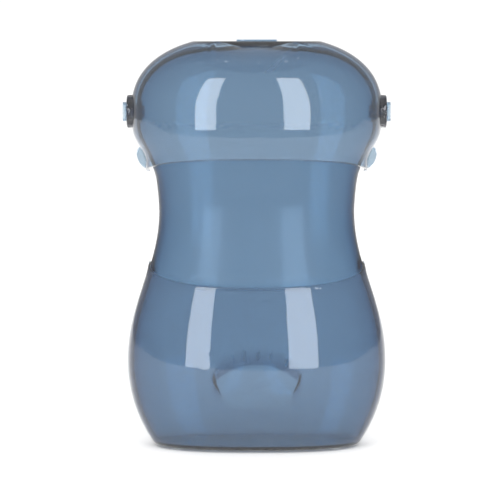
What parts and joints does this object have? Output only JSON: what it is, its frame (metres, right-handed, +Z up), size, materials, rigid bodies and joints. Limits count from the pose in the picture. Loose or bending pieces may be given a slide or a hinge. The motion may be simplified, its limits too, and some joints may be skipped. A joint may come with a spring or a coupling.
{
  "type": "urine bottle",
  "caption": "Translucent blue hospital urine bottle: a waisted flat-backed vessel made of a front and a rear shell, with a swing-back hood on side hinge pins over its mouth",
  "frame": {"origin": "middle of the overall footprint, on the floor under the feet", "axes": "+X to the viewer's right along the hinge axis, +Y to the flat back, +Z up"},
  "size_m": [0.1568, 0.069, 0.2401],
  "materials": {
    "shell": "polished translucent blue moulding",
    "hood": "polished translucent blue moulding",
    "pin": "smooth translucent blue moulding",
    "foot": "soft matt pale pad"
  },
  "bodies": {
    "vessel": {"front_shell": "shell", "rear_shell": "shell", "hinge_pin_left": "pin", "hinge_pin_right": "pin", "foot_front_left": "foot", "foot_front_right": "foot", "foot_rear_left": "foot", "foot_rear_right": "foot"},
    "lid": {"hood": "hood"}
  },
  "joints": [
    {"name": "hood_hinge", "type": "hinge", "parent": "vessel", "child": "lid", "pos_m": [0, 0.0105, 0.198], "axis": [-1, 0, 0], "range_deg": [0, 130]}
  ]
}
